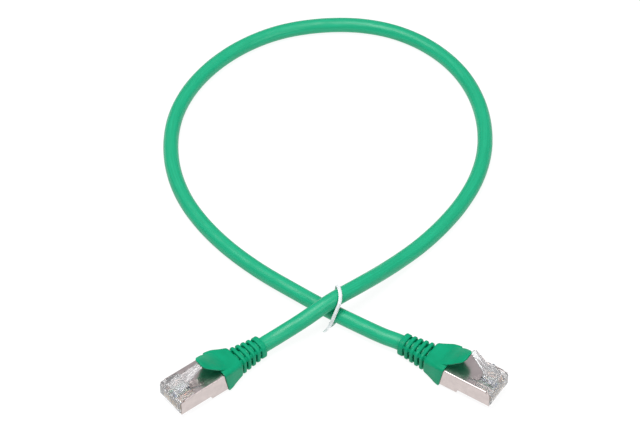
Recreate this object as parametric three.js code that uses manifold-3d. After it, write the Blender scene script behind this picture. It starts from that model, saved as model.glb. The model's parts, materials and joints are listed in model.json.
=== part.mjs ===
// Shielded RJ45 patch cable, about half a metre long, lying on a table in one open loop.
// Millimetres, +Z up. The origin is the middle of the two plugs' box, at table height.
import * as THREE from 'three';
import { mergeVertices } from 'three/addons/utils/BufferGeometryUtils.js';
import Module from 'manifold-3d';

const wasm = await Module();
wasm.setup();

// Driving dimensions -------------------------------------------------------------------------

const PLUGS = {
  // Where each nose stands, which way its cable leaves, and how far the free latch stands up.
  a: { nose: [-54.4, -11.9], turn: 38.5, latchAngle: 20 },
  b: { nose: [54.9, -8.1], turn: 146.4, latchAngle: 44 },
};

const GAP = 0.3; // clearance between two pieces that touch on the real cable
const AXIS_Z = 4.0; // height of the cable's axis where it leaves a boot
const LIFT = 0.9; // the boot's floor holds the plug this far off the table

const PLUG_WIDTH = 11.68;
const PLUG_LENGTH = 21.4;
const PLUG_REAR_DEPTH = 8.0;
const PLUG_STEP = 1.4; // the front half is shallower on the contact side
const PLUG_STEP_X = 13.2;
const PLUG_TOP = LIFT + PLUG_REAR_DEPTH;
const SHEET = 0.3; // shield sheet metal
const SHIELD_TOP_X = 6.6; // the shield's top plate starts here

const WAYS = 8;
const PITCH = 1.02;
const BLADE = { thick: 0.3, x0: 1.1, x1: 3.3, low: 3.0, top: 5.5 };
const WIRE = { radius: 0.36, z: 6.3, x0: 1.9, x1: 20.6, sides: 6 };
const BAR = { x0: 8.6, x1: 12.0, halfWidth: 4.15, low: 5.3, top: 7.3, hole: 0.44 };

const LATCH = { x: 1.7, z: PLUG_TOP + 0.7, start: 0.6, shoulder: 4.8, end: 12.8, thick: 1.1 };
const LATCH_WIDTH = 6.0;
const LATCH_TAIL = { start: 3.8, end: 2.5 }; // the tail's width behind the shoulders and at its tip

const BOOT = { frontTop: 18.1, frontBottom: 20.0, waist: 22.0, rear: 26.8, halfWidth: 6.6, rearHalf: 5.0 };
const BOOT_TOP = 9.9;
const BOOT_WAIST_TOP = 9.5;
const BOOT_REAR_TOP = 8.2;
const RELIEF_END = 38.2;
const RINGS = { count: 5, first: 27.7, pitch: 2.1, thick: 1.2, width: 8.5, height: 7.6, corner: 1.8 };
const LAST_RING = { width: 7.1, height: 7.0, corner: 2.4 };
const SLEEVE_RADIUS = 3.4; // the relief's bore wall, seen between the rings

const HOOD = { x: 18.0, z: 10.4, start: 0.6, chord: 7.8, rootSlope: 58, tipSlope: 2, thick: 1.1 };
const HOOD_ROOT_HALF = 5.7;
const HOOD_TIP_HALF = 1.8;
const HOOD_TIP_ROUND = 1.3; // how far the tip's corners are rounded back
const HOOD_CROWN = 1.3; // how much the middle of the hood stands above its two edges

const CABLE = { radius: 2.75, wall: 0.6, sides: 12, steps: 46 };
const CORE_RADIUS = CABLE.radius - CABLE.wall - GAP;
const BRAID = { x0: 22.6, x1: 25.4, inner: 2.9, outer: 3.05 };
const BARREL = { x0: 22.8, x1: 25.2, inner: 3.2, outer: 3.45 };
const STRAP = { half: 1.5, low: 0.58 }; // joins the shield to its crimp barrel, one step lower
const CABLE_START = 22.0; // the jacket ends this far behind each nose

// The cable's route between the two boots, one hand-set point every 10 to 16 mm.
const ROUTE = [
  [-18.7, 15.8, 4.8],
  [-10.4, 20.5, 7.3],
  [-0.9, 27.0, 9.6],
  [8.2, 34.5, 8.6],
  [16.4, 42.9, 5.9],
  [24.0, 51.2, 3.6],
  [31.2, 58.8, 2.8],
  [38.7, 67.7, 2.8],
  [45.4, 77.7, 2.8],
  [51.0, 89.3, 2.8],
  [54.5, 102.5, 2.8],
  [55.1, 116.4, 2.8],
  [52.9, 129.9, 2.8],
  [48.0, 142.3, 2.8],
  [40.8, 152.5, 2.8],
  [32.0, 160.3, 2.8],
  [22.2, 165.6, 2.8],
  [11.8, 168.4, 2.8],
  [1.2, 169.0, 2.8],
  [-9.3, 167.9, 2.8],
  [-19.6, 165.1, 2.8],
  [-29.4, 160.2, 2.8],
  [-38.6, 153.2, 2.8],
  [-46.7, 144.2, 2.8],
  [-53.3, 133.2, 2.8],
  [-57.5, 120.6, 2.8],
  [-58.7, 106.8, 2.8],
  [-57.0, 92.9, 2.8],
  [-52.6, 79.9, 2.8],
  [-45.9, 68.2, 2.8],
  [-37.0, 57.1, 2.8],
  [-26.0, 46.5, 3.0],
  [-13.6, 36.5, 3.6],
  [-0.9, 27.4, 3.7],
  [9.2, 20.8, 3.9],
  [16.8, 16.2, 4.0],
];

// The tie goes once round both strands beside their crossing, and its tail lies on the table.
const TIE = { radius: 0.38, sides: 8, steps: 44 };
const TIE_ROUTE = [
  [-3.6, 20.9, 0.5],
  [-2.6, 21.5, 0.8],
  [-1.5, 22.4, 1.9],
  [-0.7, 22.9, 3.6],
  [0.1, 23.2, 6.2],
  [1.0, 23.9, 8.6],
  [1.9, 25.0, 10.8],
  [2.2, 27.0, 12.6],
  [1.8, 29.6, 13.1],
  [1.3, 31.7, 12.1],
  [1.0, 33.0, 9.8],
  [1.0, 32.9, 7.0],
  [1.0, 31.2, 4.0],
  [1.0, 29.4, 1.4],
  [0.9, 26.8, 0.42],
  [0.2, 25.0, 0.5],
  [-0.9, 23.6, 0.5],
  [-1.9, 22.9, 0.5],
];

// Colours and finishes ------------------------------------------------------------------------

function finish(color, roughness, metalness, opacity = 1) {
  const transparent = opacity < 1;
  return new THREE.MeshStandardMaterial({ color, roughness, metalness, opacity, transparent });
}

const CLEAR = () => finish(0xd9dcdd, 0.2, 0, 0.4);
const NICKEL = () => finish(0xcdc0bc, 0.35, 0.9);
const GOLD = () => finish(0xd9a441, 0.3, 1);
const GREEN = () => finish(0x17a673, 0.5, 0);
const GREEN_JACKET = () => finish(0x1fae7e, 0.4, 0);
const BRAIDED = () => finish(0xa8a8a4, 0.45, 0.9);
const WHITE = () => finish(0xe6eaeb, 0.4, 0);
const BAR_WHITE = () => finish(0xe9e9e2, 0.5, 0);
const WIRE_COLOURS = [0xe9b27c, 0xe07b1f, 0xb9dcc0, 0x2f63b8, 0xb6cdea, 0x2c8a4b, 0xc9a58a, 0x7a4a26];

// Solids --------------------------------------------------------------------------------------

function solidOf(geometry) {
  const bare = geometry.clone();
  bare.deleteAttribute('normal');
  bare.deleteAttribute('uv');
  const merged = mergeVertices(bare, 1e-4);
  const vertProperties = new Float32Array(merged.attributes.position.array);
  const triVerts = new Uint32Array(merged.index.array);
  return new wasm.Manifold(new wasm.Mesh({ numProp: 3, vertProperties, triVerts }));
}

function geometryOf(solid) {
  const mesh = solid.getMesh();
  const geometry = new THREE.BufferGeometry();
  geometry.setAttribute('position', new THREE.BufferAttribute(new Float32Array(mesh.vertProperties), 3));
  geometry.setIndex(new THREE.BufferAttribute(new Uint32Array(mesh.triVerts), 1));
  return geometry;
}

function join(...geometries) {
  const solids = geometries.map(solidOf);
  return geometryOf(solids.reduce((sum, next) => sum.add(next)));
}

function cut(geometry, ...tools) {
  return geometryOf(tools.map(solidOf).reduce((body, tool) => body.subtract(tool), solidOf(geometry)));
}

function common(first, second) {
  return geometryOf(solidOf(first).intersect(solidOf(second)));
}

function box(x0, x1, y0, y1, z0, z1) {
  const geometry = new THREE.BoxGeometry(x1 - x0, y1 - y0, z1 - z0);
  return geometry.translate((x0 + x1) / 2, (y0 + y1) / 2, (z0 + z1) / 2);
}

function polygon(points) {
  return new THREE.Shape(points.map(([x, y]) => new THREE.Vector2(x, y)));
}

function flatExtrusion(shape, depth) {
  return new THREE.ExtrudeGeometry(shape, { depth, bevelEnabled: false, curveSegments: 3 });
}

// A side profile drawn in X and Z, carried across from y0 to y1.
function acrossY(shape, y0, y1) {
  return flatExtrusion(shape, y1 - y0).rotateX(Math.PI / 2).translate(0, y1, 0);
}

// A section drawn in Y and Z, carried along the plug from x0 to x1.
function alongX(shape, x0, x1) {
  const turn = new THREE.Matrix4().makeBasis(
    new THREE.Vector3(0, 1, 0),
    new THREE.Vector3(0, 0, 1),
    new THREE.Vector3(1, 0, 0),
  );
  return flatExtrusion(shape, x1 - x0).applyMatrix4(turn).translate(x0, 0, 0);
}

function roundedSection(width, height, corner) {
  const y = width / 2 - corner;
  const z = height / 2 - corner;
  const shape = new THREE.Shape();
  shape.absarc(y, AXIS_Z - z, corner, -Math.PI / 2, 0);
  shape.absarc(y, AXIS_Z + z, corner, 0, Math.PI / 2);
  shape.absarc(-y, AXIS_Z + z, corner, Math.PI / 2, Math.PI);
  shape.absarc(-y, AXIS_Z - z, corner, Math.PI, 1.5 * Math.PI);
  return shape;
}

function roundBar(radius, x0, x1, sides) {
  const geometry = new THREE.CylinderGeometry(radius, radius, x1 - x0, sides);
  return geometry.rotateZ(Math.PI / 2).translate((x0 + x1) / 2, 0, AXIS_Z);
}

function roundTube(inner, outer, x0, x1) {
  return cut(roundBar(outer, x0, x1, 20), roundBar(inner, x0 - 1, x1 + 1, 20));
}

function ring(radius, sides) {
  const points = [];
  for (let i = 0; i < sides; i += 1) {
    const angle = (2 * Math.PI * (i + 0.5)) / sides;
    points.push([radius * Math.cos(angle), radius * Math.sin(angle)]);
  }
  return polygon(points);
}

function node(name, geometry, material) {
  const mesh = new THREE.Mesh(geometry, material);
  mesh.name = name;
  return mesh;
}

// Plug ----------------------------------------------------------------------------------------

const wayY = (way) => (way - (WAYS - 1) / 2) * PITCH;

function housing() {
  const half = PLUG_WIDTH / 2 - SHEET - GAP;
  const frontLow = LIFT + PLUG_STEP + SHEET + GAP;
  const rearLow = LIFT + SHEET + GAP;
  const roof = PLUG_TOP - SHEET - GAP;
  const noseEnd = SHIELD_TOP_X - GAP;
  const profile = polygon([
    [0, frontLow + 0.7],
    [0.7, frontLow],
    [PLUG_STEP_X + SHEET + GAP, frontLow],
    [PLUG_STEP_X + SHEET + GAP, rearLow],
    [PLUG_LENGTH, rearLow],
    [PLUG_LENGTH, roof],
    [noseEnd, roof],
    [noseEnd, PLUG_TOP],
    [1.0, PLUG_TOP],
    [0, PLUG_TOP - 0.8],
  ]);
  const root = box(0.5, 1.2, -LATCH_WIDTH / 2, LATCH_WIDTH / 2, PLUG_TOP - 0.5, PLUG_TOP + 0.9);
  const body = join(acrossY(profile, -half, half), root);
  const cavities = [
    box(WIRE.x0 - GAP, BAR.x0, -4.4, 4.4, WIRE.z - 0.66, WIRE.z + 0.66),
    box(BAR.x0 - GAP, PLUG_LENGTH + 1, -4.45, 4.45, BAR.low - GAP, BAR.top + GAP),
    box(14, PLUG_LENGTH + 1, -4.45, 4.45, 2.6, BAR.top + GAP),
  ];
  for (let way = 0; way < WAYS; way += 1) {
    const reach = BLADE.thick / 2 + 0.12;
    const y = wayY(way);
    cavities.push(box(BLADE.x0 - 0.2, BLADE.x1 + 0.2, y - reach, y + reach, frontLow - 1, WIRE.z));
  }
  return cut(body, ...cavities);
}

function latch() {
  const wide = LATCH_WIDTH / 2;
  const tail = LATCH_TAIL.start / 2;
  const tip = LATCH_TAIL.end / 2;
  const outline = polygon([
    [LATCH.start, -wide],
    [LATCH.shoulder, -wide],
    [LATCH.shoulder + 0.4, -tail],
    [LATCH.end - 0.6, -tip],
    [LATCH.end, -tip + 0.6],
    [LATCH.end, tip - 0.6],
    [LATCH.end - 0.6, tip],
    [LATCH.shoulder + 0.4, tail],
    [LATCH.shoulder, wide],
    [LATCH.start, wide],
  ]);
  return flatExtrusion(outline, LATCH.thick).translate(0, 0, -LATCH.thick / 2);
}

function contactBlade(way) {
  const { x0, x1, low, top, thick } = BLADE;
  const y = wayY(way);
  const profile = polygon([
    [x0, low + 0.4],
    [x0 + 0.4, low],
    [x1, low],
    [x1, top - 0.5],
    [x1 - 0.3, top],
    [x1 - 0.7, top - 0.6],
    [x0 + 0.7, top - 0.6],
    [x0 + 0.3, top],
    [x0, top - 0.5],
  ]);
  return acrossY(profile, y - thick / 2, y + thick / 2);
}

function conductor(way) {
  // In line at the blades, then in two rows towards the cable's core.
  const y = wayY(way);
  const side = way % 2 === 0 ? 1 : -1;
  const path = new THREE.CatmullRomCurve3([
    new THREE.Vector3(WIRE.x0, y, WIRE.z),
    new THREE.Vector3(12.4, y, WIRE.z),
    new THREE.Vector3(13.8, y, WIRE.z),
    new THREE.Vector3(17.3, y * 0.72, (WIRE.z + AXIS_Z) / 2 + side * 0.3),
    new THREE.Vector3(WIRE.x1, y * 0.45, AXIS_Z + side * 0.6),
  ]);
  const options = { steps: 8, extrudePath: path, bevelEnabled: false };
  return new THREE.ExtrudeGeometry(ring(WIRE.radius, WIRE.sides), options);
}

function loadBar() {
  const bar = box(BAR.x0, BAR.x1, -BAR.halfWidth, BAR.halfWidth, BAR.low, BAR.top);
  const holes = [];
  for (let way = 0; way < WAYS; way += 1) {
    const hole = new THREE.CylinderGeometry(BAR.hole, BAR.hole, 6, 8);
    holes.push(hole.rotateZ(Math.PI / 2).translate((BAR.x0 + BAR.x1) / 2, wayY(way), WIRE.z));
  }
  return cut(bar, ...holes);
}

function shield() {
  const half = PLUG_WIDTH / 2;
  const rear = PLUG_LENGTH - 0.2;
  const stepZ = LIFT + PLUG_STEP;
  const side = [
    [0.5, stepZ],
    [PLUG_STEP_X, stepZ],
    [PLUG_STEP_X, LIFT],
    [rear, LIFT],
    [rear, PLUG_TOP],
    [1.9, PLUG_TOP],
    [1.2, PLUG_TOP - 0.9],
    [0.5, PLUG_TOP - 1.4],
  ];
  const hollow = [
    [-1, stepZ + SHEET],
    [PLUG_STEP_X + SHEET, stepZ + SHEET],
    [PLUG_STEP_X + SHEET, LIFT + SHEET],
    [rear + 1, LIFT + SHEET],
    [rear + 1, PLUG_TOP - SHEET],
    [-1, PLUG_TOP - SHEET],
  ];
  const inside = half - SHEET;
  const shell = cut(
    acrossY(polygon(side), -half, half),
    acrossY(polygon(hollow), -inside, inside),
    box(-1, SHIELD_TOP_X, -inside, inside, PLUG_TOP - 1, PLUG_TOP + 1),
    box(-1, 4.4, -inside, inside, stepZ - 1, stepZ + 1),
    box(SHIELD_TOP_X - 1, SHIELD_TOP_X + 3.6, 2.9, 4.0, PLUG_TOP - 1, PLUG_TOP + 1),
    box(SHIELD_TOP_X - 1, SHIELD_TOP_X + 3.6, -4.0, -2.9, PLUG_TOP - 1, PLUG_TOP + 1),
  );
  const strap = polygon([
    [rear - 1, LIFT],
    [rear, LIFT],
    [BARREL.x0 - 0.6, STRAP.low],
    [BARREL.x1, STRAP.low],
    [BARREL.x1, STRAP.low + 0.2],
    [BARREL.x0 - 0.4, STRAP.low + 0.2],
    [rear + 0.2, LIFT + SHEET],
    [rear - 1, LIFT + SHEET],
  ]);
  const bridge = acrossY(strap, -STRAP.half, STRAP.half);
  return join(shell, bridge, roundTube(BARREL.inner, BARREL.outer, BARREL.x0, BARREL.x1));
}

function boot() {
  const side = polygon([
    [BOOT.frontBottom, 0],
    [BOOT.waist, 0],
    [BOOT.rear, 0.3],
    [BOOT.rear, BOOT_REAR_TOP],
    [BOOT.waist, BOOT_WAIST_TOP],
    [BOOT.frontTop, BOOT_TOP],
  ]);
  const plan = polygon([
    [BOOT.frontTop - 1, -BOOT.halfWidth],
    [BOOT.waist, -BOOT.halfWidth],
    [BOOT.rear, -BOOT.rearHalf],
    [BOOT.rear, BOOT.rearHalf],
    [BOOT.waist, BOOT.halfWidth],
    [BOOT.frontTop - 1, BOOT.halfWidth],
  ]);
  const block = common(
    acrossY(side, -BOOT.halfWidth, BOOT.halfWidth),
    flatExtrusion(plan, BOOT_TOP + 2).translate(0, 0, -1),
  );
  const rings = [];
  for (let i = 0; i < RINGS.count; i += 1) {
    const last = i === RINGS.count - 1;
    const share = i / (RINGS.count - 1);
    const width = THREE.MathUtils.lerp(RINGS.width, LAST_RING.width, share);
    const height = THREE.MathUtils.lerp(RINGS.height, LAST_RING.height, share);
    const corner = THREE.MathUtils.lerp(RINGS.corner, LAST_RING.corner, share);
    const x0 = RINGS.first + i * RINGS.pitch;
    const x1 = last ? RELIEF_END : x0 + RINGS.thick;
    rings.push(alongX(roundedSection(width, height, corner), x0, x1));
  }
  const sleeve = roundBar(SLEEVE_RADIUS, BOOT.rear - 1, RELIEF_END - 0.5, 20);
  const half = PLUG_WIDTH / 2 + GAP;
  return cut(
    join(block, sleeve, ...rings),
    box(0, PLUG_LENGTH + GAP, -half, half, LIFT - GAP, PLUG_TOP + GAP),
    box(PLUG_LENGTH, BARREL.x1 + 0.6, -STRAP.half - GAP, STRAP.half + GAP, STRAP.low - GAP, AXIS_Z),
    roundBar(BARREL.outer + GAP, PLUG_LENGTH, BARREL.x1 + 0.6, 20),
    roundBar(CABLE.radius + GAP, BARREL.x1, RELIEF_END + 1, 20),
  );
}

// The hood is a crowned tongue: a narrowing slab bent along an arc that leaves its root steeply.
function hood() {
  const root = THREE.MathUtils.degToRad(HOOD.rootSlope);
  const tip = THREE.MathUtils.degToRad(HOOD.tipSlope);
  const radius = HOOD.chord / (2 * Math.sin((root - tip) / 2));
  const length = radius * (root - tip);
  const slab = new THREE.BoxGeometry(1, 2, HOOD.thick, 8, 6, 1).translate(0.5, 0, 0);
  const position = slab.attributes.position;
  for (let i = 0; i < position.count; i += 1) {
    const share = position.getX(i);
    const side = position.getY(i);
    const y = side * THREE.MathUtils.lerp(HOOD_ROOT_HALF, HOOD_TIP_HALF, share ** 0.8);
    const run = THREE.MathUtils.lerp(HOOD.start, length - HOOD_TIP_ROUND * side ** 2, share);
    const slope = root - run / radius;
    const crown = HOOD_CROWN * (1 - side ** 2) * Math.min(1, 2 * share);
    const height = position.getZ(i) + crown;
    const along = radius * (Math.sin(root) - Math.sin(slope));
    const up = radius * (Math.cos(slope) - Math.cos(root));
    position.setXYZ(i, height * Math.sin(slope) - along, -y, up + height * Math.cos(slope));
  }
  return slab;
}

function plug(key) {
  const { nose, turn, latchAngle } = PLUGS[key];
  const group = new THREE.Group();
  group.position.set(nose[0], nose[1], 0);
  group.rotation.z = THREE.MathUtils.degToRad(turn);
  group.add(node(`housing_${key}`, housing(), CLEAR()));
  group.add(node(`load_bar_${key}`, loadBar(), BAR_WHITE()));
  for (let way = 0; way < WAYS; way += 1) {
    group.add(node(`contact_${key}${way + 1}`, contactBlade(way), GOLD()));
    group.add(node(`conductor_${key}${way + 1}`, conductor(way), finish(WIRE_COLOURS[way], 0.5, 0)));
  }
  group.add(node(`shield_${key}`, shield(), NICKEL()));
  group.add(node(`braid_${key}`, roundTube(BRAID.inner, BRAID.outer, BRAID.x0, BRAID.x1), BRAIDED()));
  group.add(node(`boot_${key}`, boot(), GREEN()));
  const latchMesh = node(`latch_${key}`, latch(), CLEAR());
  latchMesh.position.set(LATCH.x, 0, LATCH.z);
  latchMesh.rotation.y = -THREE.MathUtils.degToRad(latchAngle);
  group.add(latchMesh);
  const hoodMesh = node(`hood_${key}`, hood(), GREEN());
  hoodMesh.position.set(HOOD.x, 0, HOOD.z);
  group.add(hoodMesh);
  return group;
}

// Cable ---------------------------------------------------------------------------------------

function behindNose(key, distance) {
  const { nose, turn } = PLUGS[key];
  const angle = THREE.MathUtils.degToRad(turn);
  const x = nose[0] + distance * Math.cos(angle);
  const y = nose[1] + distance * Math.sin(angle);
  return new THREE.Vector3(x, y, AXIS_Z);
}

function cablePath() {
  const straight = [CABLE_START, 30, RELIEF_END + 0.6];
  return new THREE.CatmullRomCurve3([
    ...straight.map((distance) => behindNose('a', distance)),
    ...ROUTE.map(([x, y, z]) => new THREE.Vector3(x, y, z)),
    ...straight.reverse().map((distance) => behindNose('b', distance)),
  ], false, 'centripetal');
}

function alongCable(shape) {
  const options = { steps: CABLE.steps, extrudePath: cablePath(), bevelEnabled: false };
  return new THREE.ExtrudeGeometry(shape, options);
}

function jacket() {
  const section = ring(CABLE.radius, CABLE.sides);
  section.holes.push(ring(CABLE.radius - CABLE.wall, CABLE.sides));
  return alongCable(section);
}

function tie() {
  const path = new THREE.CatmullRomCurve3(TIE_ROUTE.map(([x, y, z]) => new THREE.Vector3(x, y, z)));
  const options = { steps: TIE.steps, extrudePath: path, bevelEnabled: false };
  return new THREE.ExtrudeGeometry(ring(TIE.radius, TIE.sides), options);
}

const cable = new THREE.Group();
for (const key of Object.keys(PLUGS)) {
  cable.add(plug(key));
}
cable.add(node('cable_jacket', jacket(), GREEN_JACKET()));
cable.add(node('cable_core', alongCable(ring(CORE_RADIUS, 8)), BRAIDED()));
cable.add(node('twist_tie', tie(), WHITE()));

export default cable;
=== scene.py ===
"""Looks of the shielded patch cable: camera, light, cord, tie, plugs and boots."""

import json
import math

import bmesh  # noqa: E402
import bpy  # noqa: E402
from mathutils import Matrix, Vector  # noqa: E402


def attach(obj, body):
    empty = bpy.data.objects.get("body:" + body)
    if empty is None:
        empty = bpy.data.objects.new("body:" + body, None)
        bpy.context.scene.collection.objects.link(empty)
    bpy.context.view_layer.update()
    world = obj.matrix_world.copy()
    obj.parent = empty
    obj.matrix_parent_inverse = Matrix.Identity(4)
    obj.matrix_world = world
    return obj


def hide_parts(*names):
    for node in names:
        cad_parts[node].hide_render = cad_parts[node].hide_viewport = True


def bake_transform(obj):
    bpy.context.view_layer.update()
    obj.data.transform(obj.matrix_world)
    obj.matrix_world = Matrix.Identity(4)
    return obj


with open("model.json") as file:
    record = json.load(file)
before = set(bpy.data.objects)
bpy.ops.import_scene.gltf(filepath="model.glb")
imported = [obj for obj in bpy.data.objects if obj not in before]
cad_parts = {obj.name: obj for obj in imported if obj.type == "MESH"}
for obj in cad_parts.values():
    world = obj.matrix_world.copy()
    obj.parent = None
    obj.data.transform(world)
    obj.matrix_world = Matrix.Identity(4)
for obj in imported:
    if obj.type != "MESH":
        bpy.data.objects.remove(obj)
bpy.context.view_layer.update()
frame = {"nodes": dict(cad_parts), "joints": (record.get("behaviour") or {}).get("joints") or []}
MM = 0.001

# Plug dimensions in millimetres, in a plug's own frame: X from the nose to the cable, Z up.
AXIS_Z = 4.0
LIFT = 0.9
PLUG_TOP = 8.9
PLUG_HALF = 5.84
PLUG_STEP = 1.4
PLUG_STEP_X = 13.2
PLUG_REAR = 21.2
LATCH_ROOT = Vector((1.7, 0, 9.6))
LATCH_ANGLE = {"a": 20, "b": 44}
CABLE_RADIUS = 2.75
WAYS = 8
PITCH = 1.02
WIRE_Z = 6.3
WIRE_RADIUS = 0.42


# Camera ---------------------------------------------------------------------------------------

CAMERA_TARGET = Vector((-0.0047, 0.0757, 0))
CAMERA_DISTANCE = 0.937
CAMERA_ELEVATION = math.radians(48)

camera = bpy.data.objects.new("camera", bpy.data.cameras.new("camera"))
bpy.context.scene.collection.objects.link(camera)
camera.data.sensor_width = 36
camera.data.lens = 148.5
camera.data.clip_start = 0.01
back = Vector((0, -math.cos(CAMERA_ELEVATION), math.sin(CAMERA_ELEVATION)))
camera.location = CAMERA_TARGET + back * CAMERA_DISTANCE
camera.rotation_euler = (math.radians(90) - CAMERA_ELEVATION, 0, 0)
bpy.context.scene.camera = camera
bpy.context.scene.view_settings.view_transform = "Standard"


# Materials ------------------------------------------------------------------------------------


class Nodes:
    """A material's node tree with its Principled shader, and short ways to add to it."""

    def __init__(self, name, color, roughness, metallic=0.0, ior=1.5):
        self.material = bpy.data.materials.new(name)
        self.material.use_nodes = True
        self.tree = self.material.node_tree
        self.shader = self.tree.nodes["Principled BSDF"]
        self.shader.inputs["Base Color"].default_value = (*color, 1)
        self.shader.inputs["Roughness"].default_value = roughness
        self.shader.inputs["Metallic"].default_value = metallic
        self.shader.inputs["IOR"].default_value = ior

    def add(self, kind, **values):
        node = self.tree.nodes.new(kind)
        for key, value in values.items():
            if hasattr(node, key):
                setattr(node, key, value)
            else:
                node.inputs[key.replace("_", " ")].default_value = value
        return node

    def link(self, source, target):
        self.tree.links.new(source, target)

    def coordinates(self, scale=(1, 1, 1), output="Object"):
        where = self.add("ShaderNodeTexCoord")
        mapping = self.add("ShaderNodeMapping")
        mapping.inputs["Scale"].default_value = scale
        self.link(where.outputs[output], mapping.inputs["Vector"])
        return mapping.outputs["Vector"]

    def noise(self, vector, scale, detail=3.0, roughness=0.5):
        node = self.add("ShaderNodeTexNoise")
        node.inputs["Scale"].default_value = scale
        node.inputs["Detail"].default_value = detail
        node.inputs["Roughness"].default_value = roughness
        self.link(vector, node.inputs["Vector"])
        return node.outputs["Fac"]

    def ramp(self, value, low, high, start=0.3, end=0.7):
        node = self.add("ShaderNodeValToRGB")
        node.color_ramp.elements[0].position = start
        node.color_ramp.elements[1].position = end
        node.color_ramp.elements[0].color = (*low, 1)
        node.color_ramp.elements[1].color = (*high, 1)
        self.link(value, node.inputs["Fac"])
        return node.outputs["Color"]

    def spread(self, value, low, high):
        node = self.add("ShaderNodeMapRange")
        node.inputs["To Min"].default_value = low
        node.inputs["To Max"].default_value = high
        self.link(value, node.inputs["Value"])
        return node.outputs["Result"]

    def bump(self, height, strength, distance):
        node = self.add("ShaderNodeBump")
        node.inputs["Strength"].default_value = strength
        node.inputs["Distance"].default_value = distance
        self.link(height, node.inputs["Height"])
        last = self.shader.inputs["Normal"]
        if last.is_linked:
            self.link(last.links[0].from_socket, node.inputs["Normal"])
        self.link(node.outputs["Normal"], last)

    def color(self, socket):
        self.link(socket, self.shader.inputs["Base Color"])

    def roughness(self, socket):
        self.link(socket, self.shader.inputs["Roughness"])


def jacket_pvc():
    """Extruded PVC: drawn streaks along the length, and the soft lumps of the pairs inside."""
    nodes = Nodes("jacket_pvc", (0.006, 0.38, 0.18), 0.4)
    nodes.shader.inputs["Specular IOR Level"].default_value = 0.36
    streaks = nodes.noise(nodes.coordinates((60, 34, 1), "UV"), 1.0, 4)
    lumps = nodes.noise(nodes.coordinates((110, 2.2, 1), "UV"), 1.0, 1)
    specks = nodes.noise(nodes.coordinates(), 5200, 2)
    nodes.color(nodes.ramp(streaks, (0.003, 0.335, 0.160), (0.007, 0.405, 0.205)))
    nodes.roughness(nodes.spread(nodes.noise(nodes.coordinates(), 300, 3), 0.28, 0.5))
    nodes.bump(lumps, 0.8, 0.0009)
    nodes.bump(streaks, 0.12, 0.0002)
    nodes.bump(specks, 0.08, 0.00006)
    return nodes.material


def boot_pvc():
    """Soft moulded PVC with a fine spark-eroded grain and slight flow marks."""
    nodes = Nodes("boot_pvc", (0.002, 0.30, 0.145), 0.45)
    nodes.shader.inputs["Specular IOR Level"].default_value = 0.14
    where = nodes.coordinates()
    flow = nodes.noise(where, 190, 4)
    grain = nodes.noise(where, 6500, 2)
    nodes.color(nodes.ramp(flow, (0.001, 0.275, 0.130), (0.002, 0.335, 0.165)))
    nodes.roughness(nodes.spread(flow, 0.36, 0.52))
    nodes.bump(flow, 0.10, 0.0004)
    nodes.bump(grain, 0.16, 0.00005)
    return nodes.material


def nickel():
    """Nickel-plated sheet: warm grey, rolled grain along the plug, soft handling marks."""
    nodes = Nodes("nickel_plate", (0.64, 0.565, 0.545), 0.2, metallic=1.0)
    grain = nodes.noise(nodes.coordinates((260, 4200, 4200)), 1.0, 4)
    marks = nodes.noise(nodes.coordinates(), 420, 4)
    nodes.color(nodes.ramp(marks, (0.56, 0.49, 0.475), (0.63, 0.555, 0.535)))
    nodes.roughness(nodes.spread(marks, 0.16, 0.30))
    nodes.bump(grain, 0.10, 0.00003)
    nodes.bump(marks, 0.10, 0.0001)
    return nodes.material


def clear_polycarbonate():
    """Clear moulding, slightly milky, with faint flow ripple."""
    nodes = Nodes("clear_polycarbonate", (0.95, 0.95, 0.95), 0.1, ior=1.32)
    nodes.shader.inputs["Transmission Weight"].default_value = 0.8
    ripple = nodes.noise(nodes.coordinates(), 800, 2)
    nodes.roughness(nodes.spread(ripple, 0.08, 0.2))
    nodes.bump(ripple, 0.05, 0.0001)
    return nodes.material


def gold():
    nodes = Nodes("gold_plate", (0.86, 0.58, 0.22), 0.22, metallic=1.0)
    marks = nodes.noise(nodes.coordinates(), 2600, 3)
    nodes.color(nodes.ramp(marks, (0.80, 0.50, 0.17), (0.90, 0.64, 0.28)))
    nodes.roughness(nodes.spread(marks, 0.16, 0.32))
    return nodes.material


def braided(name, color):
    """Woven tinned wire braid, its strands drawn as one set of fine diagonal bands."""
    nodes = Nodes(name, color, 0.38, metallic=0.9)
    weave = nodes.add("ShaderNodeTexWave", wave_type="BANDS", bands_direction="DIAGONAL")
    weave.inputs["Scale"].default_value = 1500
    nodes.link(nodes.coordinates(), weave.inputs["Vector"])
    nodes.color(nodes.ramp(weave.outputs["Fac"], tuple(c * 0.55 for c in color), color, 0.2, 0.8))
    nodes.bump(weave.outputs["Fac"], 0.5, 0.0001)
    return nodes.material


def moulded(name, color, roughness=0.4):
    """Plain moulded or extruded plastic with slight tone changes and a fine grain."""
    nodes = Nodes(name, color, roughness)
    where = nodes.coordinates()
    tone = nodes.noise(where, 700, 3)
    dark = tuple(c * 0.86 for c in color)
    light = tuple(min(1, c * 1.08) for c in color)
    nodes.color(nodes.ramp(tone, dark, light))
    nodes.roughness(nodes.spread(tone, roughness - 0.07, roughness + 0.08))
    nodes.bump(nodes.noise(where, 5000, 2), 0.1, 0.00005)
    return nodes.material


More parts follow.
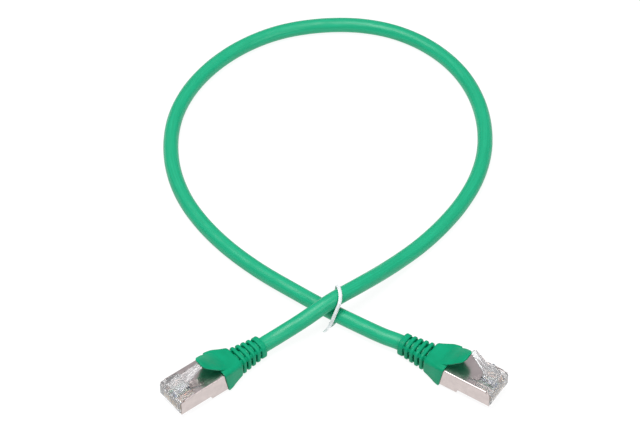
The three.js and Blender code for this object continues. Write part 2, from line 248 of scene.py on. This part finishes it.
JACKET = jacket_pvc()
BOOT = boot_pvc()
NICKEL = nickel()
CLEAR = clear_polycarbonate()
GOLD = gold()
BRAID = braided("tinned_braid", (0.72, 0.72, 0.70))
CORE = braided("screened_core", (0.55, 0.55, 0.54))
LOAD_BAR = moulded("load_bar_plastic", (0.78, 0.78, 0.74))
TIE = moulded("tie_plastic", (0.80, 0.83, 0.84), 0.35)
WIRE_COLORS = {
    "orange_white": (0.80, 0.56, 0.38),
    "orange": (0.76, 0.36, 0.18),
    "green_white": (0.58, 0.74, 0.60),
    "blue": (0.20, 0.30, 0.56),
    "blue_white": (0.58, 0.68, 0.80),
    "green": (0.16, 0.40, 0.22),
    "brown_white": (0.66, 0.52, 0.44),
    "brown": (0.36, 0.22, 0.16),
}
INSULATION = {color: moulded(f"wire_{color}", rgb) for color, rgb in WIRE_COLORS.items()}


# Mesh helpers, in millimetres -----------------------------------------------------------------


def mesh_object(name, bm, material):
    mesh = bpy.data.meshes.new(name)
    bmesh.ops.recalc_face_normals(bm, faces=bm.faces)
    bm.to_mesh(mesh)
    bm.free()
    mesh.materials.append(material)
    piece = bpy.data.objects.new(name, mesh)
    bpy.context.scene.collection.objects.link(piece)
    return piece


def add_box(bm, x0, x1, y0, y1, z0, z1):
    corners = [bm.verts.new((x, y, z)) for x in (x0, x1) for y in (y0, y1) for z in (z0, z1)]
    sides = ((0, 1, 3, 2), (4, 6, 7, 5), (0, 4, 5, 1), (2, 3, 7, 6), (0, 2, 6, 4), (1, 5, 7, 3))
    for face in sides:
        bm.faces.new([corners[i] for i in face])


def add_rings(bm, rings, closed=False):
    """Skins a row of equal rings of points, and caps both ends unless the row is closed."""
    made = [[bm.verts.new(point) for point in ring] for ring in rings]
    pairs = list(zip(made, made[1:])) + ([(made[-1], made[0])] if closed else [])
    count = len(made[0])
    for first, second in pairs:
        for i in range(count):
            j = (i + 1) % count
            bm.faces.new((first[i], first[j], second[j], second[i]))
    if not closed:
        bm.faces.new(made[0][::-1])
        bm.faces.new(made[-1])
    return made


def rounded_ring(x, half, low, top, radius, slant=0.0, steps=6):
    """A rounded rectangle in Y and Z at x; slant leans its lower edge towards the cable."""
    ring = []
    corners = ((half, low, -90), (half, top, 0), (-half, top, 90), (-half, low, 180))
    for y, z, start in corners:
        y -= math.copysign(radius, y)
        z += radius if z == low else -radius
        for i in range(steps + 1):
            angle = math.radians(start + 90 * i / steps)
            height = z + radius * math.sin(angle)
            ring.append((x + slant * (1 - height / 9.9), y + radius * math.cos(angle), height))
    return ring


def add_cylinder(bm, radius, x0, x1, sides=48):
    rings = []
    for x in (x0, x1):
        angles = [2 * math.pi * i / sides for i in range(sides)]
        rings.append([(x, radius * math.cos(a), AXIS_Z + radius * math.sin(a)) for a in angles])
    add_rings(bm, rings)


def applied(piece, kind, **values):
    """The piece with one modifier applied to its mesh."""
    modifier = piece.modifiers.new(kind, kind)
    for key, value in values.items():
        setattr(modifier, key, value)
    graph = bpy.context.evaluated_depsgraph_get()
    mesh = bpy.data.meshes.new_from_object(piece.evaluated_get(graph))
    piece.modifiers.clear()
    old = piece.data
    piece.data = mesh
    bpy.data.meshes.remove(old)
    return piece


def boolean(piece, cutter, operation="DIFFERENCE"):
    """The piece with the cutter taken away or joined on; the cutter itself is removed."""
    applied(piece, "BOOLEAN", object=cutter, operation=operation, solver="EXACT", use_self=True)
    bpy.data.objects.remove(cutter)
    return piece


def rounded_edges(piece, width):
    limit = math.radians(40)
    applied(piece, "BEVEL", width=width, segments=2, limit_method="ANGLE", angle_limit=limit)


def smooth_shade(piece, angle=None):
    piece.data.polygons.foreach_set("use_smooth", [True] * len(piece.data.polygons))
    if angle is not None:
        piece.data.set_sharp_from_angle(angle=math.radians(angle))
    return piece


def plug_matrix(key):
    """Where a plug's own frame stands, from its latch hinge; millimetres to metres."""
    joint = next(j for j in frame["joints"] if j["name"] == f"latch_{key}_press")
    across = Vector(joint["axis"]).normalized()
    along = across.cross(Vector((0, 0, 1)))
    origin = Vector(joint["pos_m"]) - along * LATCH_ROOT.x * MM - Vector((0, 0, LATCH_ROOT.z * MM))
    turn = Matrix((along, across, Vector((0, 0, 1)))).transposed().to_4x4()
    return Matrix.Translation(origin) @ turn @ Matrix.Scale(MM, 4)


def placed(source, name, key, body, slot, *replaced):
    """A copy of a plug piece at plug a or b, riding on its body and standing for CAD nodes."""
    piece = source.copy()
    piece.data = source.data.copy()
    piece.name = name
    piece.data.transform(plug_matrix(key))
    bpy.context.scene.collection.objects.link(piece)
    if body is not None:
        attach(piece, body)
    if replaced:
        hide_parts(*replaced)
    return piece


# Cord -----------------------------------------------------------------------------------------

ROUTE = [
    (-18.7, 15.8, 4.8),
    (-10.4, 20.5, 7.3),
    (-0.9, 27.0, 9.6),
    (8.2, 34.5, 8.6),
    (16.4, 42.9, 5.9),
    (24.0, 51.2, 3.6),
    (31.2, 58.8, 2.8),
    (38.7, 67.7, 2.8),
    (45.4, 77.7, 2.8),
    (51.0, 89.3, 2.8),
    (54.5, 102.5, 2.8),
    (55.1, 116.4, 2.8),
    (52.9, 129.9, 2.8),
    (48.0, 142.3, 2.8),
    (40.8, 152.5, 2.8),
    (32.0, 160.3, 2.8),
    (22.2, 165.6, 2.8),
    (11.8, 168.4, 2.8),
    (1.2, 169.0, 2.8),
    (-9.3, 167.9, 2.8),
    (-19.6, 165.1, 2.8),
    (-29.4, 160.2, 2.8),
    (-38.6, 153.2, 2.8),
    (-46.7, 144.2, 2.8),
    (-53.3, 133.2, 2.8),
    (-57.5, 120.6, 2.8),
    (-58.7, 106.8, 2.8),
    (-57.0, 92.9, 2.8),
    (-52.6, 79.9, 2.8),
    (-45.9, 68.2, 2.8),
    (-37.0, 57.1, 2.8),
    (-26.0, 46.5, 3.0),
    (-13.6, 36.5, 3.6),
    (-0.9, 27.4, 3.7),
    (9.2, 20.8, 3.9),
    (16.8, 16.2, 4.0),
]
STRAIGHT = (22.0, 30.0, 38.8)  # distances behind each nose where the cable runs straight
TIE_ROUTE = [
    (-3.6, 20.9, 0.5),
    (-2.6, 21.5, 0.8),
    (-1.5, 22.4, 1.9),
    (-0.7, 22.9, 3.6),
    (0.1, 23.2, 6.2),
    (1.0, 23.9, 8.6),
    (1.9, 25.0, 10.8),
    (2.2, 27.0, 12.6),
    (1.8, 29.6, 13.1),
    (1.3, 31.7, 12.1),
    (1.0, 33.0, 9.8),
    (1.0, 32.9, 7.0),
    (1.0, 31.2, 4.0),
    (1.0, 29.4, 1.4),
    (0.9, 26.8, 0.42),
    (0.2, 25.0, 0.5),
    (-0.9, 23.6, 0.5),
    (-1.9, 22.9, 0.5),
]


def spline(points, steps):
    """Points along the centripetal Catmull-Rom curve through the given points."""
    points = [Vector(p) for p in points]
    ends = [2 * points[0] - points[1], *points, 2 * points[-1] - points[-2]]
    made = []
    for p0, p1, p2, p3 in zip(ends, ends[1:], ends[2:], ends[3:]):
        d0, d1, d2 = ((b - a).length ** 0.5 for a, b in ((p0, p1), (p1, p2), (p2, p3)))
        m1 = ((p1 - p0) / d0 - (p2 - p0) / (d0 + d1) + (p2 - p1) / d1) * d1
        m2 = ((p2 - p1) / d1 - (p3 - p1) / (d1 + d2) + (p3 - p2) / d2) * d1
        for i in range(steps):
            t = i / steps
            a, b = 2 * t**3 - 3 * t**2 + 1, t**3 - 2 * t**2 + t
            made.append(a * p1 + b * m1 + (1 - a) * p2 + (t**3 - t**2) * m2)
    return [*made, points[-1]]


def sweep(name, path, section, up_at, material):
    """A tube of the given section along path. up_at(point) points to the section's top side.
    UV runs in metres along the length and from 0 to 1 round the section."""
    bm = bmesh.new()
    rings = []
    lengths = [0.0]
    for i, point in enumerate(path):
        ahead = (path[min(i + 1, len(path) - 1)] - path[max(i - 1, 0)]).normalized()
        up = up_at(point)
        up = (up - ahead * up.dot(ahead)).normalized()
        side = ahead.cross(up)
        rings.append([point + side * y + up * z for y, z in section(i / (len(path) - 1))])
        if i:
            lengths.append(lengths[-1] + (point - path[i - 1]).length * MM)
    made = add_rings(bm, rings)
    place = {vert: (i, j) for i, ring in enumerate(made) for j, vert in enumerate(ring)}
    layer = bm.loops.layers.uv.new("UVMap")
    count = len(made[0])
    for face in bm.faces:
        wraps = {place[v][1] for v in face.verts} == {0, count - 1}
        for loop in face.loops:
            i, j = place[loop.vert]
            loop[layer].uv = (lengths[i], 1.0 if wraps and j == 0 else j / count)
    piece = mesh_object(name, bm, material)
    piece.data.transform(Matrix.Scale(MM, 4))
    return smooth_shade(piece, 50)


def behind(key, distance):
    return plug_matrix(key) @ Vector((distance, 0, AXIS_Z)) / MM


def upward(point):
    return Vector((0, 0, 1))


def round_section(radius, sides):
    angles = [2 * math.pi * i / sides for i in range(sides)]
    return [(radius * math.cos(a), radius * math.sin(a)) for a in angles]


def make_cord():
    start = [behind("a", distance) for distance in STRAIGHT]
    end = [behind("b", distance) for distance in reversed(STRAIGHT)]
    points = start + ROUTE + end
    path = spline(points, 7)
    section = round_section(CABLE_RADIUS, 28)
    jacket = sweep("jacket", path, lambda share: section, upward, JACKET)
    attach(jacket, "cable")
    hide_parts("cable_jacket")
    return jacket, [p * MM for p in path]


def make_tie():
    """A flat strip with a rounded rib over the wire in its middle, bent once round both strands."""
    half = [(0.62, 0.0), (0.60, 0.09), (0.36, 0.14), (0.24, 0.30), (0.10, 0.37), (0.0, 0.38)]
    top = half + [(-y, z) for y, z in reversed(half[:-1])]
    section = top + [(y, -z) for y, z in reversed(top[1:-1])]

    def taper(share):
        ends = min(1.0, 0.6 + 12 * min(share, 1 - share))
        return [(y * ends, z * ends) for y, z in section]

    centre = Vector((1.0, 28.5, 6.8))
    path = spline(TIE_ROUTE, 6)
    tie = sweep("tie_strip", path, taper, lambda point: point - centre, TIE)
    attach(tie, "cable")
    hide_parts("twist_tie")
    return tie


jacket, cord_path = make_cord()
tie = make_tie()


# Boot and hood --------------------------------------------------------------------------------

RING_COUNT = 5
RING_STARTS = [27.7 + 2.1 * i for i in range(RING_COUNT)]
RING_THICK = 1.35
FIRST_SLOT = 26.95  # between the block and the first ring
SLOT_LENGTH = 0.75
SLOT_HALF_WIDTH = 2.5  # of the slots on the top and bottom
SLOT_HALF_HEIGHT = 1.7  # of the slots on the two sides
SLOT_DEPTH_FROM_AXIS = 2.0
SLEEVE_INSET = 0.42  # the webs between the rings lie this far below them
RELIEF_END = 38.2
POCKET_HALF = 5.95  # the pocket that holds the plug's rear
POCKET_END = 21.4


def boot_block(bm):
    """The block round the plug's rear: slanted front edge, tapering to the relief."""
    rows = (  # x, half width, bottom, top, corner radius, lean
        (18.2, 6.4, 0.15, 9.75, 0.9, 1.8),
        (18.4, 6.5, 0.0, 9.9, 1.2, 1.7),
        (20.0, 6.4, 0.1, 9.7, 1.2, 1.0),
        (21.5, 6.2, 0.25, 9.45, 1.2, 0.4),
        (23.2, 5.8, 0.4, 9.0, 1.5, 0.0),
        (25.0, 5.35, 0.55, 8.55, 1.8, 0.0),
        (26.5, 5.0, 0.65, 8.2, 1.9, 0.0),
        (26.9, 4.7, 0.85, 7.85, 1.8, 0.0),
    )
    add_rings(bm, [rounded_ring(*row) for row in rows])


def relief_ring(x, share, grow):
    """The relief's rounded section, tapering from the block to the collar."""
    half = 4.25 + (3.55 - 4.25) * share + grow
    tall = 3.8 + (3.5 - 3.8) * share + grow
    radius = 1.8 + (2.4 - 1.8) * share  # rounder towards the collar
    return rounded_ring(x, half, AXIS_Z - tall, AXIS_Z + tall, radius)


def boot_relief(bm):
    sleeve = [(26.0, 0.0), (30.0, 0.35), (34.0, 0.7), (37.6, 1.0)]
    add_rings(bm, [relief_ring(x, share, -SLEEVE_INSET) for x, share in sleeve])
    for i, start in enumerate(RING_STARTS):
        last = RING_COUNT - 1
        end = RELIEF_END if i == last else start + RING_THICK
        share = i / last
        rows = ((start, -0.3), (start + 0.25, 0.0), (end - 0.25, 0.0), (end, -0.3))
        add_rings(bm, [relief_ring(x, share, grow) for x, grow in rows])


def hood_shell(bm):
    """A duckbill that rises out of the block's top and ends in a narrow rounded tip."""
    rows = (  # x, half width, height of the middle, height of the edges
        (22.4, 3.9, 8.9, 8.7),
        (21.0, 4.3, 9.7, 9.5),
        (19.8, 4.5, 10.4, 10.1),
        (18.6, 4.5, 11.2, 10.8),
        (17.0, 4.3, 12.4, 11.8),
        (15.5, 3.9, 13.55, 12.8),
        (14.2, 3.4, 14.45, 13.6),
        (13.2, 2.95, 15.05, 14.3),
        (12.6, 2.35, 15.35, 14.8),
        (12.2, 1.5, 15.3, 15.0),
    )
    rows = [Vector((x, half, middle, edge)) for x, half, middle, edge in rows]
    table = []
    for a, b in zip(rows, rows[1:]):
        table += [a.lerp(b, t) for t in (0, 0.25, 0.5, 0.75)]
    table.append(rows[-1])
    across = [math.sin(math.radians(90) * (i / 8 - 1)) for i in range(17)]
    rings = []
    for x, half, middle, edge in table:
        crown = [(x, v * half, edge + (middle - edge) * (1 - abs(v) ** 2.2)) for v in across]
        thick = 1.05 if x < 18 else 1.05 + (x - 18) * 0.25
        under = []
        for (_, y, z), v in zip(crown, across):
            under.append((x, y * 0.93, z - thick * (1 - 0.35 * abs(v) ** 4)))
        rings.append(crown + under[::-1])
    add_rings(bm, rings)


def boot_cutters():
    """The plug's pocket, the room for the crimp barrel, the cable's bore and the relief's slots."""
    bm = bmesh.new()
    pocket = POCKET_HALF, LIFT - 0.22, PLUG_TOP + 0.2, 0.6
    add_rings(bm, [rounded_ring(x, *pocket) for x in (0, POCKET_END)])
    add_cylinder(bm, 3.75, 21, 25.8)
    add_cylinder(bm, 2.9, 25, 39)
    inner, outer = SLOT_DEPTH_FROM_AXIS, 6
    across = -SLOT_HALF_WIDTH, SLOT_HALF_WIDTH
    upright = AXIS_Z - SLOT_HALF_HEIGHT, AXIS_Z + SLOT_HALF_HEIGHT
    for start in [FIRST_SLOT] + [x + RING_THICK for x in RING_STARTS[:-1]]:
        ends = start, start + SLOT_LENGTH
        add_box(bm, *ends, *across, AXIS_Z + inner, AXIS_Z + outer)
        add_box(bm, *ends, *across, AXIS_Z - outer, AXIS_Z - inner)
        add_box(bm, *ends, inner, outer, *upright)
        add_box(bm, *ends, -outer, -inner, *upright)
    return mesh_object("boot_cutter", bm, BOOT)


def boot():
    """Block, relief and hood melted into one moulding, then hollowed."""
    bm = bmesh.new()
    boot_block(bm)
    boot_relief(bm)
    hood_shell(bm)
    piece = mesh_object("boot_source", bm, BOOT)
    voxel = 0.15
    applied(piece, "REMESH", mode="VOXEL", voxel_size=voxel)
    applied(piece, "SMOOTH", factor=0.5, iterations=3)
    boolean(piece, boot_cutters())
    applied(piece, "REMESH", mode="VOXEL", voxel_size=voxel)
    applied(piece, "SMOOTH", factor=0.5, iterations=2)
    return smooth_shade(piece)


# Plug ------------------------------------------------------------------------------------------


def shield():
    """Folded sheet round the plug with rounded bends, a strap and a crimp barrel at its rear."""
    low = LIFT + PLUG_STEP

    def wrapped(name, inset, front, rear):
        bm = bmesh.new()
        radius = 0.36 - inset * 0.9
        for x, bottom in ((front, low), (PLUG_STEP_X + inset, LIFT)):
            section = PLUG_HALF - inset, bottom + inset, PLUG_TOP - inset, radius
            add_rings(bm, [rounded_ring(end, *section) for end in (x, rear)])
        return mesh_object(name, bm, NICKEL)

    shell = wrapped("shield_source", 0, 0.5, PLUG_REAR)
    boolean(shell, wrapped("shield_hollow", 0.3, -1, PLUG_REAR + 1))
    bm = bmesh.new()
    inside = PLUG_HALF - 0.55
    add_box(bm, -1, 6.6, -inside, inside, PLUG_TOP - 1.2, PLUG_TOP + 1)
    add_box(bm, -1, 4.4, -inside, inside, low - 1, low + 1)
    add_box(bm, -1, 2.0, -7, 7, PLUG_TOP - 0.55, PLUG_TOP + 1)
    boolean(shell, mesh_object("shield_cutter", bm, NICKEL))
    for side in (-1, 1):
        bm = bmesh.new()
        points = [(5.6, 2.6), (5.6, 3.45), (9.9, 4.3), (9.9, 3.45)]
        heights = PLUG_TOP - 0.8, PLUG_TOP + 0.5
        add_rings(bm, [[(x, side * y, z) for x, y in points] for z in heights])
        boolean(shell, mesh_object("slot_cutter", bm, NICKEL))
    bm = bmesh.new()
    add_box(bm, PLUG_REAR - 0.6, 25.0, -1.5, 1.5, 0.6, 0.85)
    barrel_section = ((22.8, 3.2), (22.8, 3.45), (25.2, 3.45), (25.2, 3.2))
    add_rings(bm, [tube_ring(x, radius) for x, radius in barrel_section], closed=True)
    barrel = mesh_object("barrel_source", bm, NICKEL)
    boolean(shell, barrel, "UNION")
    return smooth_shade(shell, 35)


def tube_ring(x, radius, sides=40):
    angles = [2 * math.pi * i / sides for i in range(sides)]
    return [(x, radius * math.cos(a), AXIS_Z + radius * math.sin(a)) for a in angles]


def housing():
    """Clear body with its contact slots, wire channel, latch web and top rails."""
    low = LIFT + PLUG_STEP + 0.35
    half = PLUG_HALF - 0.35
    profile = [
        (0.0, low + 0.8),
        (0.8, low),
        (13.8, low),
        (13.8, LIFT + 0.35),
        (21.3, LIFT + 0.35),
        (21.3, PLUG_TOP - 0.35),
        (6.3, PLUG_TOP - 0.35),
        (6.3, PLUG_TOP - 0.1),
        (1.0, PLUG_TOP - 0.1),
        (0.0, PLUG_TOP - 1.0),
    ]
    bm = bmesh.new()
    add_rings(bm, [[(x, y, z) for x, z in profile] for y in (-half, half)])
    body = mesh_object("housing_source", bm, CLEAR)
    bm = bmesh.new()
    web = (
        (0.35, 7.5),
        (0.35, 9.0),
        (0.75, 9.75),
        (1.5, 9.95),
        (2.0, 9.9),
        (1.3, 9.2),
        (1.6, 7.5),
    )
    add_rings(bm, [[(x, y, z) for x, z in web] for y in (-3.0, 3.0)])
    boolean(body, mesh_object("web_source", bm, CLEAR), "UNION")
    bm = bmesh.new()
    for side in (-1, 1):
        ends = sorted((side * 3.9, side * 4.7))
        add_box(bm, 1.2, 6.0, *ends, 8.0, PLUG_TOP + 0.15)
    boolean(body, mesh_object("rail_source", bm, CLEAR), "UNION")
    bm = bmesh.new()
    for way in range(WAYS):
        y = (way - 3.5) * PITCH
        add_box(bm, 0.9, 3.5, y - 0.27, y + 0.27, low - 1, WIRE_Z)
    add_box(bm, 1.6, 8.6, -4.4, 4.4, WIRE_Z - 0.62, WIRE_Z + 0.62)
    add_box(bm, 8.3, 22, -4.45, 4.45, 5.0, 7.6)
    boolean(body, mesh_object("housing_cutter", bm, CLEAR))
    rounded_edges(body, 0.09)
    return smooth_shade(body, 40)


def latch():
    """The spring latch along +X from its hinge at the origin: shoulders, then a tapered tail."""
    outline = (  # x, half width, underside, top
        (-0.35, 2.7, -0.25, 0.25),
        (0.3, 2.95, -0.42, 0.42),
        (1.2, 3.0, -0.5, 0.5),
        (3.6, 3.0, -0.5, 0.5),
        (4.6, 2.98, -0.52, 0.52),
        (4.75, 2.6, -0.52, 0.52),
        (4.95, 2.05, -0.5, 0.5),
        (7.0, 1.78, -0.47, 0.47),
        (10.0, 1.42, -0.43, 0.43),
        (12.0, 1.2, -0.4, 0.4),
        (12.6, 1.0, -0.36, 0.36),
        (12.8, 0.65, -0.25, 0.25),
    )
    bm = bmesh.new()
    rings = []
    for x, half, low, top in outline:
        r = min(0.22, (top - low) / 2 - 0.01)
        corners = ((half - r, low), (half, low + r), (half, top - r), (half - r, top))
        ring = [(x, y, z) for y, z in corners] + [(x, -y, z) for y, z in reversed(corners)]
        rings.append(ring)
    add_rings(bm, rings)
    body = mesh_object("latch_source", bm, CLEAR)
    bm = bmesh.new()
    for side in (-1, 1):
        add_box(bm, 3.9, 4.6, *sorted((side * 1.9, side * 2.85)), 0.2, 1.15)
    add_box(bm, 5.4, 11.6, -0.28, 0.28, 0.1, 0.75)
    boolean(body, mesh_object("latch_rib", bm, CLEAR), "UNION")
    rounded_edges(body, 0.07)
    return smooth_shade(body, 40)


def conductor(way):
    """One insulated wire: in line at the blades, then in two rows towards the core."""
    y = (way - 3.5) * PITCH
    side = 1 if way % 2 == 0 else -1
    points = [
        (1.9, y, WIRE_Z),
        (8.0, y, WIRE_Z),
        (13.2, y, WIRE_Z),
        (17.0, y * 0.72, (WIRE_Z + AXIS_Z) / 2 + side * 0.3),
        (20.6, y * 0.45, AXIS_Z + side * 0.6),
    ]
    return spline(points, 6)


def wire_section(share):
    return round_section(WIRE_RADIUS, 14)


def plug_pieces():
    """Builds each plug piece once and places it at both plugs."""
    sources = {"shield": shield(), "housing": housing(), "latch": latch(), "boot": boot()}
    for key in "ab":
        name = f"shield_plate_{key}"
        placed(sources["shield"], name, key, "cable", "nickel_shell", f"shield_{key}")
        name = f"clear_housing_{key}"
        placed(sources["housing"], name, key, "cable", "clear_polycarbonate", f"housing_{key}")
        name = f"boot_moulding_{key}"
        stands_for = f"boot_{key}", f"hood_{key}"
        moulding = placed(sources["boot"], name, key, None, "green_boot", *stands_for)
        where = plug_matrix(key)
        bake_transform(moulding)
        turn = Matrix.Rotation(math.radians(-LATCH_ANGLE[key]), 4, "Y")
        arm = sources["latch"].copy()
        arm.data = sources["latch"].data.copy()
        arm.data.transform(Matrix.Translation(LATCH_ROOT) @ turn)
        placed(arm, f"latch_arm_{key}", key, f"latch_{key}", "clear_polycarbonate", f"latch_{key}")
        bpy.data.objects.remove(arm)
        for way, color in enumerate(WIRE_COLORS):
            name = f"wire_{key}{way + 1}"
            wire = sweep(name, conductor(way), wire_section, upward, INSULATION[color])
            wire.data.transform(where @ Matrix.Scale(1 / MM, 4))
            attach(wire, "cable")
            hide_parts(f"conductor_{key}{way + 1}")
    for source in sources.values():
        bpy.data.objects.remove(source)


plug_pieces()


# CAD nodes that stay ----------------------------------------------------------------------------


def dress(node, material, bevel=0.0):
    piece = frame["nodes"][node]
    piece.data.materials.clear()
    piece.data.materials.append(material)
    if bevel:
        modifier = piece.modifiers.new("edge", "BEVEL")
        modifier.width = bevel * MM
        modifier.segments = 2
        modifier.limit_method = "ANGLE"


for key in "ab":
    dress(f"load_bar_{key}", LOAD_BAR, 0.1)
    dress(f"braid_{key}", BRAID)
    for way in range(1, WAYS + 1):
        dress(f"contact_{key}{way}", GOLD, 0.04)
dress("cable_core", CORE)


# Floor and light --------------------------------------------------------------------------------


def floor():
    bm = bmesh.new()
    size = 3.0
    corners = ((-size, -size), (size, -size), (size, size), (-size, size))
    bm.faces.new([bm.verts.new((x, y, -0.00005)) for x, y in corners])
    nodes = Nodes("white_table", (0.14, 0.14, 0.14), 0.9)
    nodes.shader.inputs["Specular IOR Level"].default_value = 0.0
    nodes.shader.inputs["Emission Color"].default_value = (1, 1, 1, 1)
    nodes.shader.inputs["Emission Strength"].default_value = 0.9
    table = mesh_object("table", bm, nodes.material)


def softbox(name, location, target, size, power):
    light = bpy.data.lights.new(name, "AREA")
    light.shape = "RECTANGLE"
    light.size, light.size_y = size
    light.energy = power
    lamp = bpy.data.objects.new(name, light)
    bpy.context.scene.collection.objects.link(lamp)
    lamp.location = location
    lamp.rotation_euler = (Vector(location) - Vector(target)).to_track_quat("Z", "Y").to_euler()


def surroundings():
    """A soft grey room, brighter overhead than at its walls."""
    world = bpy.data.worlds.new("studio")
    bpy.context.scene.world = world
    world.use_nodes = True
    tree = world.node_tree
    where = tree.nodes.new("ShaderNodeTexCoord")
    split = tree.nodes.new("ShaderNodeSeparateXYZ")
    ramp = tree.nodes.new("ShaderNodeValToRGB")
    ramp.color_ramp.elements[0].position = 0.05
    ramp.color_ramp.elements[0].color = (0.16, 0.15, 0.16, 1)
    ramp.color_ramp.elements[1].position = 0.8
    ramp.color_ramp.elements[1].color = (0.60, 0.60, 0.63, 1)
    tree.links.new(where.outputs["Generated"], split.inputs["Vector"])
    tree.links.new(split.outputs["Z"], ramp.inputs["Fac"])
    tree.links.new(ramp.outputs["Color"], tree.nodes["Background"].inputs["Color"])
    tree.nodes["Background"].inputs["Strength"].default_value = 1.0


floor()
surroundings()
softbox("key", (-0.2, 0.0, 0.95), (0, 0.06, 0), (0.55, 0.55), 7.6)
softbox("fill", (0.6, -0.5, 0.6), (0, 0, 0), (0.5, 0.4), 2.0)
